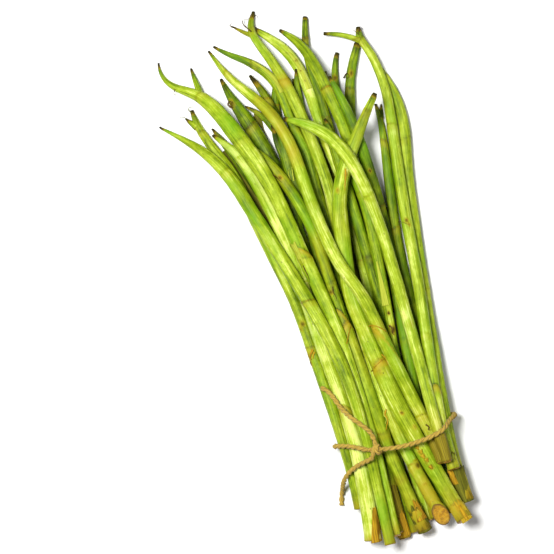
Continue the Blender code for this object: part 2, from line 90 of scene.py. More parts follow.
# Each stolon's growth details, as heights up the bunch in mm from the tie, and as angles in
# degrees round the stem: 0 is its right side, 90 its top and 180 its left side.
#   tone: 0 deep green to 1 bright yellow-green, and on the stolons lying under the others partly
#       painted shade; warm: how olive or orange it is
#   rings: (height, how marked); sheaths: (height, length of the point, angle) of a leaf sheath's
#   upper edge; spots: (height, angle, size in mm, how brown); orange: (from, to) stretches
#   cut, flare: how the cut face slopes and how far the end spreads
#   dry: mm of dried tip; base: how brown its lowest part is, and how far up in mm
STYLE = {
    "stolon_front_left": dict(
        tone=0.60, warm=0.15, rings=((101, 0.8), (196, 0.4)), dry=5, base=(0.5, 10)),
    "stolon_outer_left": dict(
        tone=0.55, warm=0.2, rings=((72, 0.7), (186, 0.3), (226, 0.5)), dry=4,
        spots=((88, 100, 1.6, 1.0), (85, 130, 1.2, 0.8), (67, 150, 2.2, 0.7),
            (62, 165, 1.8, 1.0))),
    "stolon_left_bright": dict(
        tone=0.86, warm=0.2, rings=((115, 0.3), (203, 0.4)), dry=4, base=(0.25, 6),
        sheaths=((30, 14, 110),)),
    "stolon_big_left": dict(
        tone=0.62, warm=0.1, rings=((129, 0.5), (213, 0.3), (248, 0.5)), dry=5,
        sheaths=((138, 10, 140),), base=(0.4, 12)),
    "stolon_sheathed_left": dict(
        tone=0.52, warm=0.35, rings=((7, 0.8), (110, 0.4)), dry=4,
        sheaths=((82, 14, 60), (92, 20, 130), (-46, 5, 60)), base=(0.75, 20),
        orange=((-28, -22),), spots=((184, 100, 1.1, 1.1), (104, 120, 1.4, 1.1))),
    "stolon_broad_crossing": dict(
        tone=0.64, warm=0.3, rings=((48, 0.5), (211, 0.5)), dry=3,
        sheaths=((53, 8, 60), (-50, 4, 80)), base=(0.75, 14), cut=0.3,
        spots=((176, 70, 1.5, 0.9), (166, 110, 1.3, 0.7), (17, 90, 1.1, 1.0),
            (-7, 112, 1.2, 0.40), (-10.5, 122, 1.3, 0.55), (-14, 108, 1.4, 0.45),
            (-18, 116, 1.3, 0.60), (-22, 100, 1.2, 1.0), (5, 60, 1.5, 0.5), (46, 110, 1.6, 0.45),
            (52, 60, 1.4, 0.5)), orange=((49, 54),)),
    "stolon_long_centre": dict(
        tone=0.70, warm=0.25, rings=((10, 0.6), (163, 0.2), (260, 0.6)), dry=4,
        sheaths=((77, 34, 150),), base=(0.8, 22), orange=((188, 238), (68, 78))),
    "stolon_ringed_centre": dict(
        tone=0.70, warm=0.3, rings=((-18, 1.0), (60, 0.3), (245, 0.8), (283, 0.8)), dry=8,
        base=(0.3, 30), orange=((240, 248), (-60, -20)), cut=1.5, flare=0.24,
        spots=((-20, 60, 2.0, 1.1), (-38, 80, 1.6, 0.6))),
    "stolon_bright_crossing": dict(
        tone=0.74, warm=0.0, rings=((96, 0.2), (157, 0.5)), dry=3, base=(0.9, 26),
        spots=((70, 80, 3.0, 0.25),)),
    "stolon_mid_yellow": dict(
        tone=0.76, warm=0.15, rings=((117, 0.7), (198, 0.3)), dry=4,
        spots=((140, 100, 0.9, 1.6), (256, 80, 1.2, 1.0), (249, 85, 1.6, 0.6),
            (242, 95, 1.0, 0.9))),
    "stolon_long_right": dict(
        tone=0.48, warm=0.1, rings=((85, 0.3), (160, 0.4), (231, 0.9)), dry=4,
        spots=((81, 90, 0.9, 1.6), (70, 70, 2.4, 1.0))),
    "stolon_twig_right": dict(
        tone=0.62, warm=0.15, rings=((60, 0.3), (198, 0.5), (259, 0.6)), dry=4,
        sheaths=((28, 12, 80),), spots=((136, 95, 1.2, 1.1), (133, 75, 1.0, 0.9))),
    "stolon_outer_right": dict(
        tone=0.60, warm=0.15, rings=((90, 0.3), (188, 0.4), (231, 0.7)), dry=4, base=(0.8, 26),
        sheaths=((-27, 8, 90),), cut=0.25),
    # the stolons from here on lie under the others: their low tones are partly their own deeper
    # green and partly painted shade
    "stolon_forked_right": dict(
        tone=0.36, warm=0.1, rings=((64, 0.3), (133, 0.8), (190, 0.8)), dry=4),
    "stolon_straight_right": dict(
        tone=0.30, warm=0.0, rings=((60, 0.4), (150, 0.6), (205, 0.4)), dry=4,
        spots=((174, 90, 0.9, 1.5),)),
    "stolon_under_right": dict(
        tone=0.34, warm=0.1, rings=((120, 0.5), (228, 0.6)), dry=4, spots=((239, 90, 1.5, 1.0),)),
    "stolon_blunt_high": dict(
        tone=0.36, warm=0.1, rings=((120, 0.4), (214, 0.5), (269, 1.0)), dry=2),
    "stolon_swept_left": dict(
        tone=0.40, warm=0.1, rings=((110, 0.5), (214, 0.4), (262, 0.5)), dry=5),
    "stolon_kinked_centre": dict(
        tone=0.30, warm=0.0, rings=((100, 0.4), (232, 0.7)), dry=3, base=(0.7, 36),
        orange=((-66, -26),)),
    "stolon_brown_tip": dict(
        tone=0.24, warm=0.2, rings=((150, 0.5), (236, 0.8)), dry=7, spots=((250, 90, 2.5, 1.0),)),
    "stolon_dark_broad": dict(
        tone=0.20, warm=0.1, rings=((140, 0.5), (222, 0.6)), dry=5,
        spots=((240, 120, 2.0, 1.0),)),
}


# ---- middle lines, taken from the CAD nodes ----

def mesh_arrays(node):
    """A node's corners, each once, and its triangles."""
    mesh = node.data
    mesh.calc_loop_triangles()
    places = np.empty(len(mesh.vertices) * 3)
    mesh.vertices.foreach_get("co", places)
    triangles = np.empty(len(mesh.loop_triangles) * 3, int)
    mesh.loop_triangles.foreach_get("vertices", triangles)
    places, merged = np.unique(places.reshape(-1, 3).round(7), axis=0, return_inverse=True)
    return places, merged.ravel()[triangles].reshape(-1, 3)


def unit(vector):
    return vector / np.linalg.norm(vector)


def end_ring(places, corner, sides=8):
    """Middle, normal and radius of the ring of corners round a tube that a corner is on."""
    nearest = np.argsort(np.linalg.norm(places - corner, axis=1))
    ring = places[nearest[:sides]]
    middle = ring.mean(axis=0)
    normal = np.linalg.svd(ring - middle)[2][2]
    return middle, normal, float(np.linalg.norm(ring - middle, axis=1).mean())


def outline(points, middle, ahead):
    """Middle and radius of the outline that a tube's cut makes, or None."""
    across = unit(np.cross(ahead, (0.3, 0.1, 1.0)))
    up = np.cross(ahead, across)
    flat = np.column_stack([(points - middle) @ across, (points - middle) @ up])
    x, y = flat.T
    x2, y2 = np.roll(flat, -1, axis=0).T
    turn = x * y2 - x2 * y
    area = turn.sum() / 2
    if abs(area) < 1e-8:
        return None
    cx, cy = ((x + x2) * turn).sum() / (6 * area), ((y + y2) * turn).sum() / (6 * area)
    return middle + cx * across + cy * up, math.sqrt(abs(area) / OCTAGON_AREA)


def section(places, triangles, middle, ahead, reach):
    """Middle and radius of the nearest closed outline where a plane cuts the solid, or None."""
    side = (places - middle) @ ahead
    above = side > 0
    crossing = triangles[above[triangles].sum(axis=1) % 3 > 0]
    links, spots = {}, {}
    for corners in crossing:
        cut = []
        for a, b in ((0, 1), (1, 2), (2, 0)):
            low, high = sorted((corners[a], corners[b]))
            if above[low] != above[high]:
                share = side[low] / (side[low] - side[high])
                spots[(low, high)] = places[low] + (places[high] - places[low]) * share
                cut.append((low, high))
        for here, there in (cut, cut[::-1]):
            links.setdefault(here, []).append(there)
    best, nearest, seen = None, reach, set()
    for start in links:
        if start in seen:
            continue
        chain, here = [], start
        while here is not None:
            seen.add(here)
            chain.append(spots[here])
            here = next((there for there in links[here] if there not in seen), None)
        found = outline(np.array(chain), middle, ahead) if len(chain) > 4 else None
        if found and np.linalg.norm(found[0] - middle) < nearest:
            best, nearest = found, np.linalg.norm(found[0] - middle)
    return best


def follow(places, triangles, middle, ahead, radius, stop=None, step=SLICE_STEP, growth=1.12):
    """(x, y, z, radius) rows along a tube, from one end until it ends or stop says so.
    Where another tube has joined it, the cut is too wide, and the line runs straight on."""
    rows = [(*middle, radius)]
    for _ in range(MOST_SLICES):
        guess = middle + ahead * step
        found = section(places, triangles, guess, ahead, 1.6 * radius + 0.0015)
        if found is None:
            rows.append(last_row(places, middle, ahead, radius, step))
            break
        centre, wide = found
        alone = float(np.clip((1.45 - (wide / radius) ** 2) / 0.25, 0, 1))
        if len(rows) <= TIP_ROWS and wide < TIP_MOST:
            alone = 1
        pull = (centre - guess) * (0.12 + 0.88 * alone)
        if np.linalg.norm(pull) > 0.5 * step:
            pull = unit(pull) * 0.5 * step
        centre = guess + pull
        ahead = unit(0.5 * ahead + 0.5 * unit(centre - middle))
        wide = alone * wide + (1 - alone) * radius
        most = 3 if len(rows) <= TIP_ROWS else growth
        radius = float(np.clip(wide, 0.8 * radius, most * radius))
        middle = centre
        rows.append((*middle, radius))
        if stop is not None and stop(middle):
            break
    return np.array(rows)


def last_row(places, middle, ahead, radius, step):
    """The tube's far end, less than a step ahead of the last slice."""
    offset = places - middle
    onward = offset @ ahead
    near = (onward > 0) & (onward < step) & (np.linalg.norm(offset, axis=1) < step + radius)
    if not near.any():
        return (*(middle + ahead * 0.2 * step), radius)
    return (*places[near].mean(axis=0), radius)


def both_ways(places, triangles, corner, stop=None, step=SLICE_STEP, growth=1.12):
    """Rows along the whole of the tube that a corner is on, from one end to the other."""
    middle, ahead, radius = end_ring(places, corner)
    one, other = (follow(places, triangles, middle, way * ahead, radius, stop, step, growth)
                  for way in (1, -1))
    if min(len(one), len(other)) > 2:
        return np.vstack([other[::-1], one[1:]])
    return max(one, other, key=len)


def main_line(places, triangles):
    return both_ways(places, triangles, places[np.argmin(places[:, 1])], growth=1.03)


def beyond(places, lines):
    """How far each place stands outside the tubes round some lines."""
    outside = np.full(len(places), 1.0)
    for line in lines:
        gap = np.linalg.norm(places[:, None] - line[None, :, :3], axis=2)
        nearest = gap.argmin(axis=1)
        reach = 1.25 * line[nearest, 3] + SHOOT_STANDOFF
        outside = np.minimum(outside, gap[np.arange(len(places)), nearest] - reach)
    return outside


def shoot_lines(places, triangles, main):
    """The side shoots' lines, each from its root on the main line to its tip."""
    found = []

    def met(place):
        gap = np.linalg.norm(main[:, :3] - place, axis=1)
        return gap.min() < max(0.45 * main[np.argmin(gap), 3], 0.6 * SLICE_STEP)

    for _ in range(MOST_SHOOTS):
        outside = beyond(places, [main] + found)
        if outside.max() < 0:
            break
        line = both_ways(places, triangles, places[np.argmax(outside)], met)
        first, last = beyond(line[[0, -1], :3], [main])
        line = line if first < last else line[::-1]
        known = any(np.linalg.norm(line[-1, :3] - other[-1, :3]) < 3 * MM for other in found)
        if len(line) < 4 or known:
            break
        found.append(line)
    return found


def smoothed(rows, passes):
    """Rows with their kinks eased, and both ends where they were."""
    eased = rows.copy()
    for _ in range(passes):
        eased[1:-1] = 0.25 * eased[:-2] + 0.5 * eased[1:-1] + 0.25 * eased[2:]
    return eased


def run_lengths(points):
    """How far along a line each of its points is."""
    return np.append(0, np.cumsum(np.linalg.norm(np.diff(points, axis=0), axis=1)))


def resampled(rows, step):
    reached = run_lengths(rows[:, :3])
    wanted = np.linspace(0, reached[-1], max(4, round(reached[-1] / step) + 1))
    return np.column_stack([np.interp(wanted, reached, column) for column in rows.T])


# ---- materials ----

class Paint:
    """A new material and the shader nodes that colour it."""

    def __init__(self, name):
        self.material = bpy.data.materials.new(name)
        self.material.use_nodes = True
        self.tree = self.material.node_tree
        self.shader = self.tree.nodes["Principled BSDF"]

    def feed(self, node, values):
        """Sets or links a node's inputs, by their names or numbers."""
        for key, value in values.items():
            if isinstance(value, bpy.types.NodeSocket):
                self.tree.links.new(value, node.inputs[key])
            else:
                node.inputs[key].default_value = value

    def add(self, kind, values, **settings):
        node = self.tree.nodes.new(kind)
        for key, value in settings.items():
            setattr(node, key, value)
        self.feed(node, values)
        return node

    def shade(self, **values):
        """Sets or links the shader's inputs, named with _ for a space."""
        self.feed(self.shader, {key.replace("_", " "): value for key, value in values.items()})

    def maths(self, operation, *values):
        node = self.add("ShaderNodeMath", dict(enumerate(values)), operation=operation)
        return node.outputs[0]

    def plus(self, *values):
        return self.maths("ADD", *values)

    def times(self, *values):
        return self.maths("MULTIPLY", *values)

    def centred(self, value, amount):
        return self.times(self.maths("SUBTRACT", value, 0.5), amount)

    def clamped(self, value):
        return self.add("ShaderNodeClamp", {"Value": value}).outputs[0]

    def attribute(self, name, output="Fac"):
        return self.add("ShaderNodeAttribute", {}, attribute_name=name).outputs[output]

    def place(self, scale):
        """The point along and around a stem, stretched so that noise runs in streaks."""
        values = {"Scale": scale, "Vector": self.attribute("fibre", "Vector")}
        return self.add("ShaderNodeMapping", values).outputs["Vector"]

    def noise(self, scale, detail=3.0, rough=0.55):
        node = self.add("ShaderNodeTexNoise", {"Scale": 1.0, "Detail": detail, "Roughness": rough,
                                               "Vector": self.place(scale)})
        return node.outputs["Fac"]

    def cells(self, scale):
        node = self.add("ShaderNodeTexVoronoi", {"Scale": 1.0, "Vector": self.place(scale)})
        return node.outputs["Distance"]

    def ramp(self, source, stops):
        """Colours from (position, red, green, blue) stops."""
        node = self.add("ShaderNodeValToRGB", {"Fac": source})
        elements = node.color_ramp.elements
        for element, stop in zip(elements, (stops[0], stops[-1])):
            element.position, element.color = stop[0], (*stop[1:], 1)
        for stop in stops[1:-1]:
            elements.new(stop[0]).color = (*stop[1:], 1)
        return node.outputs["Color"]

    def mix(self, factor, first, colour):
        node = self.add("ShaderNodeMix", {}, data_type="RGBA")
        self.feed(node, {0: factor, 6: first,
                         7: (*colour, 1) if isinstance(colour, tuple) else colour})
        return node.outputs[2]

    def bump(self, height, strength, distance):
        node = self.add("ShaderNodeBump", {"Strength": strength, "Distance": distance,
                                           "Height": height})
        self.shade(Normal=node.outputs["Normal"])


# (position, red, green, blue) stops and (red, green, blue) tints
# the palest stop of GREENS is partly painted highlight and its darkest stops partly painted shade,
# on top of the skin's own range of greens
GREENS = ((0.0, 0.026, 0.048, 0.001), (0.25, 0.088, 0.148, 0.002), (0.5, 0.225, 0.320, 0.005),
          (0.75, 0.395, 0.510, 0.024), (1.0, 0.690, 0.760, 0.190))
BROWNS = ((0.1, 0.430, 0.290, 0.006), (0.4, 0.150, 0.104, 0.002), (0.75, 0.030, 0.026, 0.002))
FLESH = ((0.3, 0.30, 0.130, 0.004), (0.5, 0.62, 0.33, 0.010), (0.7, 0.72, 0.48, 0.030))
RIM = ((0.0, 1, 1, 1), (0.22, 0, 0, 0))
JUTE = ((0.25, 0.150, 0.075, 0.006), (0.5, 0.420, 0.265, 0.028), (0.75, 0.680, 0.490, 0.090))
LUSH_GREEN = (0.150, 0.345, 0.004)
OLIVE = (0.400, 0.320, 0.014)
FRECKLE = (0.075, 0.055, 0.006)
CUT_RIM = (0.115, 0.062, 0.004)
PORE = (0.24, 0.09, 0.006)
WORN_JUTE = (0.42, 0.32, 0.04)
DRIED = {
    "rust": ((0.3, 0.130, 0.048, 0.003), (0.7, 0.640, 0.390, 0.014)),
    "amber": ((0.3, 0.260, 0.140, 0.005), (0.7, 0.640, 0.470, 0.020)),
    "olive": ((0.3, 0.090, 0.062, 0.004), (0.7, 0.330, 0.270, 0.012)),
    "moss": ((0.3, 0.034, 0.036, 0.002), (0.7, 0.180, 0.175, 0.008)),
    "umber": ((0.3, 0.022, 0.012, 0.003), (0.7, 0.150, 0.085, 0.012)),
    "pale": ((0.3, 0.250, 0.290, 0.014), (0.7, 0.520, 0.560, 0.060)),
}


def plant_skin():
    """Fresh stem skin: streaked greens, olive and orange tints, brown rings, spots and tips."""
    paint = Paint("taro_skin")
    plus, times, noise = paint.plus, paint.times, paint.noise
    tone, warm, dried = (paint.attribute(name) for name in ("tone", "warm", "brown"))
    streaks = noise((1500, 1500, 30), 4.0, 0.65)
    threads = noise((2600, 2600, 90), 3.0, 0.7)
    broad = noise((420, 420, 26), 3.0, 0.6)
    cloud = noise((110, 110, 70), 3.0, 0.6)
    blotch = noise((420, 420, 220), 4.0, 0.65)
    level = tone
    for pattern, amount in ((streaks, 1.1), (threads, 0.5), (broad, 0.9), (cloud, 0.75),
                            (blotch, 0.6)):
        level = plus(level, paint.centred(pattern, amount))
    lush = paint.maths("SUBTRACT", noise((60, 60, 26), 2.0), 0.48)
    lush = times(paint.clamped(times(lush, 4.0)), 0.75)
    colour = paint.mix(lush, paint.ramp(level, GREENS), LUSH_GREEN)
    patchy = plus(times(warm, 0.9), paint.centred(cloud, 0.5))
    patchy = times(patchy, paint.maths("MINIMUM", times(warm, 4.0), 1.0))
    colour = paint.mix(paint.clamped(patchy), colour, OLIVE)
    worn = plus(times(dried, 0.55), paint.centred(noise((1100, 1100, 90), 4.0, 0.7), 0.9))
    spread = plus(times(dried, 1.25), paint.centred(blotch, 1.5))
    spread = times(spread, paint.maths("MINIMUM", times(dried, 5.0), 1.0))
    colour = paint.mix(paint.clamped(spread), colour, paint.ramp(worn, BROWNS))
    dots = paint.maths("LESS_THAN", paint.cells((380, 380, 150)), 0.11)
    dots = times(times(dots, paint.maths("GREATER_THAN", cloud, 0.52)), 0.65)
    gloss = plus(plus(0.36, times(streaks, 0.22)), times(paint.clamped(dried), 0.3))
    paint.shade(Base_Color=paint.mix(dots, colour, FRECKLE), Roughness=gloss,
                Specular_IOR_Level=0.15, Subsurface_Weight=0.08,
                Subsurface_Radius=(0.6, 1.0, 0.12), Subsurface_Scale=0.0015)
    relief = plus(times(streaks, 1.3), times(blotch, 0.5))
    relief = plus(relief, times(threads, 0.4))
    paint.bump(plus(relief, times(blotch, paint.clamped(dried))), 0.8, 0.0003)
    return paint.material


def cut_flesh():
    """The browned cut faces: an orange-brown skin line round pale, fibrous flesh."""
    paint = Paint("cut_flesh")
    grain = paint.cells((1400, 1400, 700))
    pores = paint.times(paint.maths("LESS_THAN", grain, 0.28), 0.55)
    flesh = paint.ramp(paint.noise((420, 420, 420), 4.0, 0.65), FLESH)
    flesh = paint.mix(paint.ramp(paint.attribute("depth"), RIM), flesh, CUT_RIM)
    paint.shade(Base_Color=paint.mix(pores, flesh, PORE), Roughness=0.6, Subsurface_Weight=0.1,
                Subsurface_Scale=0.002)
    paint.bump(grain, 0.6, 0.0003)
    return paint.material


def dry_fibre(name, stops):
    """Papery dried sheath or filament."""
    paint = Paint(name)
    grain = paint.noise((1600, 1600, 60), 4.0, 0.65)
    paint.shade(Base_Color=paint.ramp(grain, stops), Roughness=0.72, Specular_IOR_Level=0.15)
    paint.bump(grain, 0.6, 0.0002)
    return paint.material


def jute():
    """Tan plant fibre, streaked along each ply."""
    paint = Paint("jute_fibre")
    grain = paint.noise((2600, 2600, 240), 4.0, 0.7)
    worn = paint.times(paint.noise((500, 500, 300), 2.0), 0.35)
    paint.shade(Base_Color=paint.mix(worn, paint.ramp(grain, JUTE), WORN_JUTE), Roughness=0.85,
                Sheen_Weight=0.08, Sheen_Roughness=0.5)
    paint.bump(grain, 0.8, 0.0002)
    return paint.material


# ---- meshes ----

def directions(line):
    ahead = np.gradient(line, axis=0)
    return ahead / np.linalg.norm(ahead, axis=1)[:, None]


def frames_along(line):
    """Forward, side and up directions along a line, without twist."""
    forward = directions(line)
    sides = [unit(np.cross(forward[0], (0, 0, 1)))]
    for ahead in forward[1:]:
        side = sides[-1] - ahead * (sides[-1] @ ahead)
        sides.append(unit(side))
    sides = np.array(sides)
    return forward, sides, np.cross(sides, forward)


def add_piece(name, shape, materials, node=None, indices=None, marks=None):
    """A mesh piece on the bunch's body, with the point attributes that its materials read.
    A shape is its points, its faces and each point's place in the streaks' pattern."""
    vertices, faces, fibre = shape
    vertices[:, 2] = np.maximum(vertices[:, 2], LOWEST)
    mesh = bpy.data.meshes.new(name)
    mesh.from_pydata([tuple(v) for v in vertices], [], faces)
    for material in materials:
        mesh.materials.append(material)
    if indices:
        mesh.polygons.foreach_set("material_index", indices)
    for key, values in (marks or {}).items():
        layer = mesh.attributes.new(key, "FLOAT", "POINT")
        layer.data.foreach_set("value", np.asarray(values, np.float32))
    layer = mesh.attributes.new("fibre", "FLOAT_VECTOR", "POINT")
    layer.data.foreach_set("vector", np.asarray(fibre, np.float32).ravel())
    mesh.shade_smooth()
    mesh.update()
    piece = bpy.data.objects.new(name, mesh)
    bpy.context.collection.objects.link(piece)
    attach(piece, "root")
    if node:
        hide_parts(node)
    return piece


def fibre_places(turn, along, radius, shift=(0, 0, 0)):
    """Where the streaks' pattern has each point of a tube, as if the tube were straight."""
    grid = np.empty((len(along), len(turn), 3))
    grid[..., 0] = radius * np.cos(turn)[None, :] + shift[0]
    grid[..., 1] = radius * np.sin(turn)[None, :] + shift[1]
    grid[..., 2] = along[:, None] + shift[2]
    return grid.reshape(-1, 3)


def joined(parts):
    """Several shapes as one."""
    faces, count = [], 0
    for part in parts:
        faces += [tuple(i + count for i in face) for face in part[1]]
        count += len(part[0])
    return np.vstack([part[0] for part in parts]), faces, np.vstack([part[2] for part in parts])


def step_down(value):
    """1 below 0, 0 above 1, eased between."""
    t = np.clip(value, 0, 1)
    return 1 - t * t * (3 - 2 * t)


def bell(value):
    return np.exp(-value * value)


class Skin:
    """A grid of points round a line: positions, and the attributes that the material reads."""

    def __init__(self, rows, sides, seed):
        self.line, self.radius = rows[:, :3], rows[:, 3]
        self.forward, self.side, self.up = frames_along(self.line)
        self.along = run_lengths(self.line)
        self.turn = np.arange(sides) * 2 * math.pi / sides
        self.rng = np.random.default_rng(seed)
        shape = (len(rows), sides)
        self.swell = np.ones(shape)
        self.extra = np.zeros(shape)
        self.tone = np.zeros(shape)
        self.warm = np.zeros(shape)
        self.brown = np.zeros(shape)

    def waves(self, amount, along_size, turns):
        """Soft uneven swelling or tint."""
        total = np.zeros(self.swell.shape)
        for _ in range(3):
            phase, bend = self.rng.uniform(0, 2 * math.pi, 2)
            pace = 2 * math.pi / (along_size * self.rng.uniform(0.7, 1.5))
            wave = np.sin(self.along * pace + phase)[:, None]
            total += wave * np.cos(self.turn * self.rng.integers(0, turns + 1) + bend)[None, :]
        return amount * total / 3

    def points(self, cut=0.0):
        """The grid's points, with the first ring's face leaning back by the slope cut."""
        reach = self.radius[:, None] * self.swell + self.extra
        cos, sin = np.cos(self.turn), np.sin(self.turn)
        near = step_down(self.along / (0.016 + 0.02 * cut))
        onward = cut * reach * (1 + sin[None, :]) * near[:, None]
        return (self.line[:, None] + onward[:, :, None] * self.forward[:, None]
                + reach[:, :, None] * (cos[None, :, None] * self.side[:, None]
                                       + sin[None, :, None] * self.up[:, None]))


def band(low, high, sides, way=1):
    """Faces between two rings of a tube, given the numbers of their first points."""
    pairs = [(s, (s + 1) % sides)[::way] for s in range(sides)]
    return [(low + a, low + b, high + b, high + a) for a, b in pairs]


def grid_faces(rings, sides):
    return sum((band(k * sides, (k + 1) * sides, sides) for k in range(rings - 1)), [])


def capped_faces(rings, sides):
    """A tube's faces with one flat face over each end."""
    last = (rings - 1) * sides
    ends = [tuple(range(sides))[::-1], tuple(range(last, last + sides))]
    return grid_faces(rings, sides) + ends


def heights_up(skin):
    """Each ring's height up the bunch, in mm from the tie."""
    return (skin.line[:, 1] - TIE_Y) / MM


def grow(skin, style, is_shoot=False):
    """Shapes and tints a stem's skin."""
    height = heights_up(skin)
    turn = skin.turn
    left = (skin.along[-1] - skin.along) / MM
    skin.swell += skin.waves(0.035, 0.030, 2) + skin.waves(0.022, 0.010, 3)
    ribs = skin.rng.integers(7, 10)
    skin.swell += 0.016 * np.cos(ribs * turn + skin.rng.uniform(0, 6))[None, :]
    skin.swell += 0.040 * np.cos(2 * turn + skin.rng.uniform(0, 6))[None, :]
    # the style's tone: on the stolons lying under the others it is partly painted shade
    skin.tone += style["tone"] + skin.waves(0.16, 0.060, 2)
    skin.warm += style["warm"] * (0.55 + skin.waves(0.8, 0.050, 1)).clip(0, 1)
    for ring, mark in style.get("rings", ()):
        slant = 1.2 * np.cos(turn + skin.rng.uniform(0, 6))
        gap = height[:, None] - ring - slant[None, :]
        skin.swell += mark * (0.075 * bell(gap / 2.6) - 0.060 * bell((gap - 1.6) / 0.9))
        skin.tone -= 0.55 * mark * bell((gap - 0.9) / 0.7)
        skin.brown += 0.45 * mark * bell((gap - 0.9) / 0.45)
        skin.warm += 0.45 * mark * bell((gap + 1.5) / 2.5)
    for top, point, angle in style.get("sheaths", ()):
        lean = (1 + np.cos(turn - math.radians(angle))) / 2
        gap = height[:, None] - (top - point * (1 - lean))[None, :]
        skin.extra += 0.00045 * step_down(gap / 0.9 + 1) * step_down(-(gap + 60) / 30)
        skin.brown += 0.62 * bell((gap + 0.4) / 0.55)
        skin.warm += 0.75 * bell((gap + 2) / 2.2)
        skin.tone -= 0.5 * bell((gap - 0.8) / 0.7)
    for place, angle, size, mark in style.get("spots", ()):
        across = (turn - math.radians(angle) + math.pi) % (2 * math.pi) - math.pi
        around = across[None, :] * skin.radius[:, None] / MM
        gap = np.hypot((height[:, None] - place) / 1.3, around) / size
        skin.brown += mark * bell(gap)
        skin.extra += 0.00055 * bell(gap / 0.8)
    for low, high in style.get("orange", ()):
        inside = step_down((low - height) / 6 + 0.5) * step_down((height - high) / 6 + 0.5)
        skin.warm += 0.62 * inside[:, None] * (0.75 + skin.waves(0.5, 0.02, 2))
    dry = step_down(left / max(style["dry"], 1))
    skin.brown += (1.5 * dry ** 0.8)[:, None]
    skin.tone -= 0.5 * step_down(left / (2.2 * style["dry"] + 1))[:, None]
    skin.swell *= 1 - 0.15 * dry[:, None] + dry[:, None] * skin.waves(0.30, 0.005, 3)
    if not is_shoot:
        amount, reach = style.get("base", (0.45, 8))
        from_cut = skin.along / MM
        low = step_down(from_cut / reach)
        skin.brown += (amount * low)[:, None] * (0.7 + skin.waves(1.2, 0.02, 3)).clip(0, 1.4)
        skin.warm += (0.8 * amount * step_down(from_cut / (reach * 2.2)))[:, None]
        skin.tone -= (0.35 * amount * low)[:, None]
        skin.swell += style.get("flare", 0.05) * step_down(from_cut / 9)[:, None]


def stem_arrays(rows, style, seed, is_shoot=False):
    """One tube and its ends: a shape, and then its material indices and marks."""
    skin = Skin(rows, STEM_SIDES, seed)
    grow(skin, style, is_shoot)
    points = skin.points(0 if is_shoot else style.get("cut", skin.rng.uniform(0.05, 0.3)))
    rings, sides = skin.swell.shape
    tints = np.stack([skin.tone, skin.warm, skin.brown, np.zeros((rings, sides))], axis=-1)
    vertices = [points.reshape(-1, 3)]
    offset = seed * 0.031
    fibre = [fibre_places(skin.turn, skin.along, FIBRE_RADIUS, (offset, -offset, offset))]
    marks = [tints.reshape(-1, 4)]
    faces = grid_faces(rings, sides)
    indices = [0] * len(faces)
    count = rings * sides
    for ring, way, index in ((0, -1, 1), (rings - 1, 1, 0)):
        rim, ahead = points[ring], way * skin.forward[ring]
        middle = rim.mean(axis=0)
        start = ring * sides
        for share, push in CAP_RINGS:
            bulge = push * skin.radius[ring] * (CUT_BULGE if index else 1)
            rough = way * skin.rng.normal(0, CUT_ROUGHNESS if index else 0, (sides, 1))
            inner = middle + (rim - middle) * share + ahead * (bulge + rough)
            vertices.append(inner)
            fibre.append(inner)
            marks.append(np.column_stack([tints[ring, :, :3], np.full(sides, 1 - share)]))
            faces += band(start, count, sides, way)
            start = count
            count += sides
        vertices.append(middle[None] + ahead * 0.1 * skin.radius[ring])
        fibre.append(middle[None])
        marks.append(np.append(tints[ring, 0, :3], 1)[None])
        faces += [face[:2] + (count,) for face in band(start, count, sides, way)]
        count += 1
        indices += [index] * (len(faces) - len(indices))
    return np.vstack(vertices), faces, np.vstack(fibre), indices, np.vstack(marks)


def build_stem(name, node, materials, seed):
    """A stolon's skin with its side shoots, round the lines of its CAD node."""
    places, triangles = mesh_arrays(node)
    main = main_line(places, triangles)
    parts = []
    for k, line in enumerate([main] + shoot_lines(places, triangles, main)):
        rows = resampled(smoothed(line, 6), RING_STEP)
        parts.append(stem_arrays(rows, STYLE[name], seed + 40 * k, k > 0))
        if k == 0:
            main_rows = rows
    indices = sum((part[3] for part in parts), [])
    marks = dict(zip(("tone", "warm", "brown", "depth"), np.vstack([part[4] for part in parts]).T))
    add_piece(name + "_skin", joined(parts), materials, name, indices, marks)
    return main_rows


# ---- the twine ----

def catmull(points, per_span=12):
    ends = np.vstack([2 * points[0] - points[1], points, 2 * points[-1] - points[-2]])
    dense = []
    for p0, p1, p2, p3 in zip(ends, ends[1:], ends[2:], ends[3:]):
        for t in np.arange(per_span) / per_span:
            dense.append(0.5 * (2 * p1 + (p2 - p0) * t + (2 * p0 - 5 * p1 + 4 * p2 - p3) * t ** 2
                                + (3 * p1 - p0 - 3 * p2 + p3) * t ** 3))
    return np.array(dense + [points[-1]])


def ply_arrays(rows, along, side, up, turned, offset, rng):
    """One ply: a tube that winds round the cord's line."""
    spin = 2 * math.pi * along / PLY_PITCH + turned
    out = np.cos(spin)[:, None] * side + np.sin(spin)[:, None] * up
    over = -np.sin(spin)[:, None] * side + np.cos(spin)[:, None] * up
    turn = np.arange(PLY_SIDES) * 2 * math.pi / PLY_SIDES
    cos, sin = np.cos(turn), np.sin(turn)
    wobble = 1 + 0.10 * rng.standard_normal((len(rows), PLY_SIDES))
    wobble[1:-1] = (wobble[:-2] + wobble[1:-1] + wobble[2:]) / 3
    ring = (rows + PLY_OFFSET * out)[:, None] + PLY_RADIUS * wobble[:, :, None] * (
        1.1 * cos[None, :, None] * out[:, None] + 1.25 * sin[None, :, None] * over[:, None])
    fibre = fibre_places(turn, along, 0.0012, (offset, 0, 0))
    return ring.reshape(-1, 3), capped_faces(len(rows), PLY_SIDES), fibre


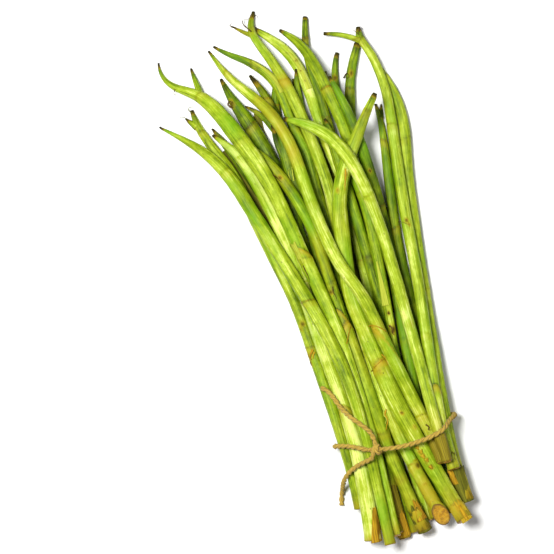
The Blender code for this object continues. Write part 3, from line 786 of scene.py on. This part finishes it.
def hair_arrays(place, forward, side, up, along, length, rng):
    """A loose hair that leaves the cord at a place and bends away."""
    angle = rng.uniform(0, 2 * math.pi)
    out = math.cos(angle) * side + math.sin(angle) * up
    lean = out * rng.uniform(0.3, 1.0) + forward * rng.choice((-1, 1)) * rng.uniform(0.4, 1.2)
    lean = unit(lean)
    length *= rng.uniform(0.4, 1.0)
    bend = rng.normal(0, 0.3, 3)
    across = unit(np.cross(lean, out + 0.01))
    rings = []
    for j, t in enumerate((0, 0.35, 0.7, 1.0)):
        centre = place + out * TWINE_DIAMETER * 0.42 + lean * length * t + bend * length * t * t
        size = HAIR_RADIUS * (1 - 0.22 * j)
        rings += [centre + across * size, centre - across * size * 0.5 + out * size,
                  centre - across * size * 0.5 - out * size]
    return np.array(rings), capped_faces(4, 3), np.tile([0.002, 0.001, along], (12, 1))


def twisted(line, seed, hairs_per_metre, hair_length):
    """The shape of a two-ply twisted cord along a line."""
    rng = np.random.default_rng(seed)
    rows = resampled(line, TWINE_STEP)
    forward, side, up = frames_along(rows)
    along = run_lengths(rows)
    parts = [ply_arrays(rows, along, side, up, k * math.pi, k * 0.01 + seed * 0.1, rng)
             for k in (0, 1)]
    for _ in range(int(along[-1] * hairs_per_metre)):
        k = rng.integers(1, len(rows) - 1)
        parts.append(hair_arrays(rows[k], forward[k], side[k], up[k], along[k], hair_length, rng))
    return joined(parts)


def add_twine(name, line, material, seed, hairs=900, hair_length=0.0042):
    shape = twisted(line, seed, hairs, hair_length)
    return add_piece(name + "_strand", shape, [material], name)


def add_tails(material):
    for name, points, seed in (("twine_tail_upper", UPPER_TAIL, 5),
                               ("twine_tail_lower", LOWER_TAIL, 6)):
        line = catmull(np.array(points))
        piece = add_twine(name, line, material, seed, 1300, 0.0016)


def add_loop(material):
    """The twine round the bunch, on its CAD node's line; gives the line and the knot's middle."""
    places, triangles = mesh_arrays(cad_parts["twine_loop"])
    knot = np.mean(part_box("twine_knot"), axis=0)
    right = places[places[:, 0] > knot[0]]
    start = right[np.argmin(np.linalg.norm(right - knot, axis=1))]
    line = smoothed(both_ways(places, triangles, start, step=TWINE_SLICE)[:, :3], 3)
    add_twine("twine_loop", line, material, 3)
    return line, knot


def add_knot(material, loop, knot):
    """The loop's strand runs on through the knot, and the two tails are one strand tied over it."""
    through = np.array([loop[0], knot + (1.3 * MM, -0.2 * MM, -0.9 * MM),
                        knot + (-1.3 * MM, 0.2 * MM, -0.9 * MM), loop[-1]])
    over = knot + MM * np.array([
        (0.0, 2.2, 0.5), (-0.3, 0.0, 1.5), (0.2, -2.2, 0.5), (1.3, -2.7, -1.2), (2.1, -0.8, -2.0),
        (1.7, 1.5, -0.9), (0.2, 2.2, 0.9), (-1.6, 1.0, 1.3), (-2.6, -1.0, 0.9), (-3.2, -2.8, 0.1)])
    tied = np.vstack([UPPER_TAIL[0], over, LOWER_TAIL[0]])
    parts = [twisted(catmull(path, 8), seed, 900, 0.003)
             for path, seed in ((through, 20), (tied, 21))]
    add_piece("twine_knot_strand", joined(parts), [material], "twine_knot")


# ---- dried sheaths, strips and filaments ----

FLAP_THICKNESS = 0.00025
FLAP_STEP = 0.7             # between a flap's rows, in mm
FLAP_COLUMNS = 26
SHADE_STRIP_STEP = 0.0015
SHADE_STRIP_COLUMNS = 15
STRAND_STEP = 0.0004
STRAND_SIDES = 8

# stem, (from, to) heights in mm from the tie, angle of its middle, (lower, upper) spread in
# degrees, colours, how ragged its top is in mm, and how far it stands off in mm
FLAPS = (
    ("stolon_left_bright", (-62, -38), 50, (115, 24), "rust", 1.2, 0.6),
    ("stolon_kinked_centre", (-64, -29), 90, (250, 230), "olive", 3.0, 0.3),
    ("stolon_kinked_centre", (-64, -49), 100, (170, 120), "rust", 4.0, 0.6),
    ("stolon_sheathed_left", (-63, -46), 95, (230, 200), "moss", 3.5, 0.4),
    ("stolon_sheathed_left", (-55, -42), 70, (90, 30), "rust", 2.5, 0.6),
    ("stolon_broad_crossing", (-62, -50), 70, (100, 60), "amber", 2.5, 0.4),
    ("stolon_broad_crossing", (-61, -51), 75, (30, 16), "rust", 1.5, 0.7),
    ("stolon_outer_right", (-51, -28), 95, (300, 260), "moss", 3.5, 0.6),
    ("stolon_outer_right", (-38, -28), 140, (70, 40), "rust", 2.5, 0.9),
    ("stolon_bright_crossing", (-20, -2), 90, (230, 200), "olive", 2.0, 0.3),
    ("stolon_long_centre", (-20, -6), 90, (230, 190), "olive", 2.0, 0.3),
    ("stolon_twig_right", (-27, -18), 90, (230, 190), "moss", 2.0, 0.3),
    ("stolon_big_left", (127, 141), 140, (50, 70), "pale", 1.0, 0.5),
    ("stolon_sheathed_left", (66, 92), 130, (90, 8), "pale", 0.3, 0.35),
    ("stolon_long_right", (86, 115), 110, (80, 8), "pale", 0.3, 0.5),
    ("stolon_mid_yellow", (236, 262), 85, (50, 10), "pale", 0.8, 0.4),
    ("stolon_swept_left", (238, 262), 70, (60, 10), "pale", 0.6, 0.4),
)
# colours, radius in mm, and the (x, y, height above what lies under it) points of a strand,
# in mm from the tie's middle line
STRANDS = (
    ("rust", 0.55,
     ((0.2, 21, 0.7), (-1.4, 18, 1.2), (-0.8, 14, 0.9), (-2.4, 10.5, 1.1), (-3.6, 8, 0.6))),
    ("pale", 0.45, ((-1.6, 20.5, 0.6), (-2.2, 17.5, 0.9), (-1.4, 15, 0.7), (-3.0, 12, 0.6))),
    ("moss", 0.30, ((-72, 241, 0.6), (-74, 243.5, 1.6), (-73, 245.5, 2.4), (-70.5, 245, 3.0))),
    ("moss", 0.25, ((-76.5, 238, 0.8), (-79, 240.5, 1.8), (-81.5, 240, 2.6))),
    ("umber", 0.45, ((-21, 282, 2.0), (-24.5, 288, 3.0), (-24, 291.5, 3.6), (-20.5, 291, 4.0),
      (-18, 292.5, 4.4))),
    ("umber", 0.30, ((-17, 291, 2.0), (-14.5, 292, 3.2), (-13.8, 289.5, 3.8))),
    ("umber", 0.35, ((-32, 289, 0.5), (-33.2, 291, 1.4), (-31.4, 291.6, 2.0))),
    ("umber", 0.30, ((47, 262, 1.0), (45.2, 265, 2.2), (44.4, 267, 3.0))),
    ("umber", 0.30,
     ((47.5, 264, 1.0), (48.5, 266.6, 2.0), (50.2, 266.8, 2.6), (50.4, 265.2, 2.8))),
    ("umber", 0.75,
     ((-45.5, 237, 0.6), (-47.8, 239.5, 1.4), (-46.8, 241.8, 1.8), (-44.8, 240.6, 1.6))),
    ("umber", 0.55,
     ((30.5, 238, 1.2), (32.8, 239.8, 2.0), (33.6, 237.4, 2.2), (31.6, 236.2, 1.8))),
    ("umber", 0.30, ((-79, 259, 0.4), (-80.5, 256.5, 0.8), (-79.2, 255, 0.6))),
    ("pale", 0.50, ((-21.2, 181, 0.8), (-21.4, 185, 1.2), (-20.8, 188.4, 1.4))),
    ("pale", 0.55, ((-19.2, 180, 0.8), (-18.8, 185, 1.4), (-18.2, 189.2, 1.8))),
    ("rust", 0.90,
     ((-35.8, 70.5, 0.4), (-37.4, 68.4, 0.9), (-38.6, 66.2, 0.7), (-38.4, 64, 0.2))),
    ("amber", 0.80, ((-35.2, 68.6, 0.6), (-36.6, 66.6, 1.0), (-37.0, 64.6, 0.6))),
    ("umber", 0.55, ((16.2, 73, 0.5), (17.6, 70.5, 1.0), (16.8, 68, 0.8), (18.0, 66, 0.4))),
    ("umber", 0.50, ((22.0, 5.5, 0.8), (23.4, 3.6, 1.6), (22.6, 2.0, 1.4), (24.4, 1.4, 1.0))),
    ("umber", 0.40, ((-27.8, 125, 0.4), (-27.2, 121, 0.8), (-26.4, 117, 0.6), (-26.6, 113, 0.4))),
    ("rust", 0.62, ((14.4, 178.4, 0.0), (13.8, 175.4, 0.1), (12.8, 172.2, 0.1),
      (11.6, 168.6, 0.1), (10.6, 165.0, 0.0))),
    ("umber", 0.45,
     ((-31.8, 187.0, 0.1), (-30.2, 185.4, 0.2), (-28.6, 183.2, 0.2), (-27.4, 180.8, 0.1))),
    ("umber", 0.36,
     ((40.4, 136.8, 0.1), (42.4, 135.8, 0.2), (44.2, 134.2, 0.2), (45.8, 133.0, 0.1))),
    ("rust", 0.42, ((2.8, 76.4, 0.1), (5.4, 76.2, 0.2), (8.0, 74.8, 0.2), (10.6, 72.6, 0.2),
      (12.8, 70.0, 0.1), (14.6, 66.8, 0.1))),
    ("rust", 0.42, ((-2.6, 47.2, 0.1), (-0.6, 49.6, 0.2), (1.8, 51.2, 0.2), (4.2, 52.4, 0.2),
      (6.6, 54.0, 0.2), (8.6, 54.6, 0.1))),
    ("rust", 0.34, ((6.2, 56.6, 0.1), (7.6, 54.2, 0.2), (8.4, 51.4, 0.1), (8.8, 48.6, 0.1))),
    ("rust", 0.30, ((-13.8, 69.0, 0.1), (-12.0, 72.4, 0.1), (-10.0, 76.0, 0.1), (-8.2, 79.2, 0.1),
      (-6.8, 82.2, 0.1))),
    ("amber", 1.55, ((12.6, -6.8, 0.3), (13.0, -7.8, 0.5), (13.5, -8.8, 0.3))),
    ("amber", 1.75, ((14.2, -9.6, 0.3), (14.5, -10.8, 0.5), (14.9, -12.0, 0.3))),
    ("amber", 1.65, ((14.6, -13.0, 0.3), (15.2, -14.2, 0.5), (15.6, -15.4, 0.3))),
    ("amber", 1.65, ((16.4, -15.8, 0.3), (16.8, -17.0, 0.5), (17.3, -18.2, 0.3))),
    ("rust", 1.40, ((17.6, -20.8, 0.3), (18.2, -22.0, 0.5), (18.6, -23.2, 0.2))),
    ("umber", 0.40,
     ((-12.8, 107, 0.6), (-13.4, 103.5, 1.0), (-12.6, 100, 0.8), (-13.0, 97.5, 0.4))),
)
# dark strips pressed flat on the floor under the bunch, painted shade for the gaps between the
# stems: (x, y, width) points, in mm
SHADE_STRIPS = (
    ((-33, 95, 5), (-38, 130, 9), (-46, 165, 10), (-53, 196, 9), (-58, 212, 3)),
    ((-20, 110, 6), (-27, 150, 10), (-33, 185, 11), (-33, 212, 9), (-31, 232, 3)),
    ((-7, 90, 5), (-7, 130, 9), (-6, 175, 10), (-4, 215, 9), (-1, 246, 3)),
    ((6, 80, 5), (9, 130, 9), (9, 180, 10), (10, 225, 8), (11, 245, 3)),
    ((20, 80, 5), (22, 120, 9), (22, 165, 9), (25, 200, 7), (27, 216, 2)),
    ((29, 30, 4), (33, 75, 7), (35, 115, 7), (35, 148, 2)),
    ((-1, -5, 4), (1, -25, 7), (5, -43, 6), (7, -54, 3)),
)


def at_height(rows, height):
    """The place, as a part of an index, where a stem's line is at a height up the bunch."""
    heights = (rows[:, 1] - TIE_Y) / MM
    rising = np.argmax(heights) + 1
    return float(np.interp(height, heights[:rising], np.arange(rising)))


def sheet_faces(rows, columns):
    return [(a, a + 1, a + columns + 1, a + columns) for k in range(rows - 1)
            for a in range(k * columns, (k + 1) * columns - 1)]


def flap_arrays(rows, span, angle, spread, ragged, lift, seed):
    """A dried strip that follows part of a stem, with a ragged upper edge and curled sides."""
    rng = np.random.default_rng(seed)
    first, last = (at_height(rows, height) for height in span)
    line, radius = rows[:, :3], rows[:, 3]
    _, side, up = frames_along(line)
    steps = max(10, int((span[1] - span[0]) / FLAP_STEP))
    tears = rng.normal(0, 1, FLAP_COLUMNS)
    tears = np.convolve(tears, (0.25, 0.5, 0.25), "same") * ragged
    top = last + tears / (RING_STEP / MM)
    vertices, fibre = [], []
    ripple = rng.uniform(0, 6.28, 4)
    for k in range(steps + 1):
        t = k / steps
        wide = math.radians(spread[0] + (spread[1] - spread[0]) * t)
        for c in range(FLAP_COLUMNS):
            u = c / (FLAP_COLUMNS - 1) - 0.5
            place = min(max(first + (top[c] - first) * t, 0), len(rows) - 1.001)
            index = int(place)
            share = place - index
            centre = line[index] * (1 - share) + line[index + 1] * share
            around = math.radians(angle) - u * wide
            bend = 0.12 * math.sin(9 * t + ripple[0]) + 0.10 * math.sin(21 * u + ripple[1])
            off = lift * (0.6 + 0.5 * (2 * u) ** 4 + 0.8 * t ** 6 + bend)
            cos, sin = math.cos(around), math.sin(around)
            reach = radius[index] * 1.035 + off * MM
            vertices.append(centre + reach * (cos * side[index] + sin * up[index]))
            fibre.append((FIBRE_RADIUS * cos + seed * 0.02, FIBRE_RADIUS * sin, place * RING_STEP))
    return np.array(vertices), sheet_faces(steps + 1, FLAP_COLUMNS), np.array(fibre)


def shade_strip_arrays(points, seed):
    """A flat ribbed dark strip on the floor: painted shade that shows through the gaps between the
    stems.
    """
    rng = np.random.default_rng(seed)
    rows = resampled(catmull(np.array(points, float) * MM, 8), SHADE_STRIP_STEP)
    heading = directions(rows[:, :2])
    across = np.column_stack([heading[:, 1], -heading[:, 0]])
    vertices, fibre = [], []
    for k, (x, y, wide) in enumerate(rows):
        for c in range(SHADE_STRIP_COLUMNS):
            u = c / (SHADE_STRIP_COLUMNS - 1) - 0.5
            edge = wide * u * (1 + 0.06 * math.sin(k * 0.7 + seed))
            rise = 0.5 + 0.25 * math.cos(u * 40) + 0.15 * rng.standard_normal()
            vertices.append((x + MIDDLE_X + across[k, 0] * edge, y + TIE_Y + across[k, 1] * edge,
                             max(rise, 0.15) * MM))
            fibre.append((u * 0.01 + seed * 0.05, 0.003, k * SHADE_STRIP_STEP))
    return np.array(vertices), sheet_faces(len(rows), SHADE_STRIP_COLUMNS), fibre


def surface_below(x, y):
    """Height of whatever a straight look down at (x, y) meets."""
    graph = bpy.context.evaluated_depsgraph_get()
    hit, place, *_ = bpy.context.scene.ray_cast(graph, (x, y, 0.2), (0, 0, -1))
    return place.z if hit else 0.0


def strand_arrays(points, thick, seed):
    """A dried filament, thinner towards its end."""
    rng = np.random.default_rng(seed)
    placed = []
    for x, y, above in points:
        px, py = x * MM + MIDDLE_X, y * MM + TIE_Y
        placed.append((px, py, surface_below(px, py) + above * MM))
    level = np.array(placed)
    level[1:-1, 2] = np.maximum(level[1:-1, 2], (level[:-2, 2] + level[2:, 2]) / 2)
    rows = resampled(catmull(level, 8), STRAND_STEP)
    _, side, up = frames_along(rows)
    turn = np.arange(STRAND_SIDES) * 2 * math.pi / STRAND_SIDES
    share = np.linspace(0, 1, len(rows))
    size = thick * MM * (1 - 0.65 * share) * (1 + 0.18 * np.sin(share * 23 + rng.uniform(0, 6)))
    flat = 0.65 + 0.2 * np.sin(share * 7)
    ring = rows[:, None] + size[:, None, None] * (
        np.cos(turn)[None, :, None] * side[:, None]
        + (np.sin(turn)[None, :] * flat[:, None])[:, :, None] * up[:, None])
    fibre = fibre_places(turn, share * 0.01, 0.001, (seed * 0.01, 0, 0))
    return ring.reshape(-1, 3), capped_faces(len(rows), STRAND_SIDES), fibre


def add_dried():
    """Every flap, painted-shade strip and strand, each its own piece."""
    materials = {key: dry_fibre("dried_" + key, stops) for key, stops in DRIED.items()}
    bpy.context.view_layer.update()
    for number, (stem, span, angle, spread, kind, ragged, lift) in enumerate(FLAPS, 1):
        flap = flap_arrays(lines[stem], span, angle, spread, ragged, lift, number)
        piece = add_piece(f"dried_sheath_{number}", flap, [materials[kind]])
        thicken = piece.modifiers.new("thickness", "SOLIDIFY")
        thicken.thickness = FLAP_THICKNESS
        thicken.offset = -1
    # dark strips in the dried moss colour on the floor: painted shade in the gaps between the stems
    for number, points in enumerate(SHADE_STRIPS, 1):
        shade_shape = shade_strip_arrays(points, number + 89)
        add_piece(f"shade_strip_{number}", shade_shape, [materials["moss"]])
    # all are measured before any is made, so that none lies on another
    strands = [(kind, strand_arrays(points, thick, number + 49))
               for number, (kind, thick, points) in enumerate(STRANDS, 1)]
    for number, (kind, strand) in enumerate(strands, 1):
        add_piece(f"dried_strand_{number}", strand, [materials[kind]])


# ---- the scene ----

FLOOR_HALF = 3.0
FLOOR_DROP = 0.0003
FLOOR_COLOUR = (0.86, 0.86, 0.85)
SKY_STRENGTH = 0.12
LIT = (0, 0, 0.02)          # what the lamps face
# name, place, size and power of each lamp
LIGHTS = (("key", (-0.25, 0.20, 1.06), 0.30, 17.8), ("fill", (0.45, -0.25, 0.9), 0.5, 1.8))


def add_camera():
    data = bpy.data.cameras.new("camera")
    data.sensor_width = SENSOR_WIDTH
    data.lens = SENSOR_WIDTH * (VIEW_HEIGHT - VIEW_LEVEL) / VIEW_WIDTH
    data.clip_start, data.clip_end = 0.05, 10
    camera = bpy.data.objects.new("camera", data)
    camera.location = (*VIEW_CENTRE, VIEW_HEIGHT)
    camera.rotation_euler = (0, 0, -VIEW_ROLL)
    bpy.context.collection.objects.link(camera)
    bpy.context.scene.camera = camera


def add_light(name, place, size, power):
    """A round lamp that faces the bunch."""
    data = bpy.data.lights.new(name, "AREA")
    data.shape = "DISK"
    data.size = size
    data.energy = power
    light = bpy.data.objects.new(name, data)
    light.location = place
    light.rotation_euler = (Vector(LIT) - Vector(place)).to_track_quat("-Z", "Y").to_euler()
    bpy.context.collection.objects.link(light)


def add_stage():
    mesh = bpy.data.meshes.new("floor")
    corners = [(x * FLOOR_HALF, y * FLOOR_HALF, 0) for x, y in ((-1, -1), (1, -1), (1, 1), (-1, 1))]
    mesh.from_pydata(corners, [], [(0, 1, 2, 3)])
    floor = bpy.data.objects.new("floor", mesh)
    bpy.context.collection.objects.link(floor)
    floor.location.z = -FLOOR_DROP
    paint = Paint("pale_floor")
    paint.shade(Base_Color=(*FLOOR_COLOUR, 1), Roughness=0.8)
    mesh.materials.append(paint.material)
    world = bpy.data.worlds.new("studio")
    world.use_nodes = True
    background = world.node_tree.nodes["Background"]
    background.inputs["Color"].default_value = (1, 1, 1, 1)
    background.inputs["Strength"].default_value = SKY_STRENGTH
    bpy.context.scene.world = world
    for name, place, size, power in LIGHTS:
        add_light(name, place, size, power)
    bpy.context.scene.view_settings.view_transform = "Standard"


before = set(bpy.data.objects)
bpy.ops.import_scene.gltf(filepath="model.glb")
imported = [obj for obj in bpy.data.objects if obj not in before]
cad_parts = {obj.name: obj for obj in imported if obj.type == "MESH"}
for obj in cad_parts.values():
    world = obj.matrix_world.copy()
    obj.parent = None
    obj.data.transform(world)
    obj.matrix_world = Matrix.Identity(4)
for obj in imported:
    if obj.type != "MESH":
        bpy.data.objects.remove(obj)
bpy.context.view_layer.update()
KNOT_RISE = 1.2 * MM        # from the knot's middle up to the tie's reference line
KNOT_LEFT = 13.0 * MM       # from the knot's middle across to the bunch's middle line
low_corner, high_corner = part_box("twine_knot")
TIE_Y = (low_corner[1] + high_corner[1]) / 2 + KNOT_RISE
MIDDLE_X = (low_corner[0] + high_corner[0]) / 2 + KNOT_LEFT

add_camera()
twine = jute()
add_tails(twine)
loop, knot = add_loop(twine)
add_knot(twine, loop, knot)
skins = [plant_skin(), cut_flesh()]
lines = {}
for number, name in enumerate(sorted(STYLE)):
    lines[name] = build_stem(name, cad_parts[name], skins, number + 1)
add_dried()
add_stage()
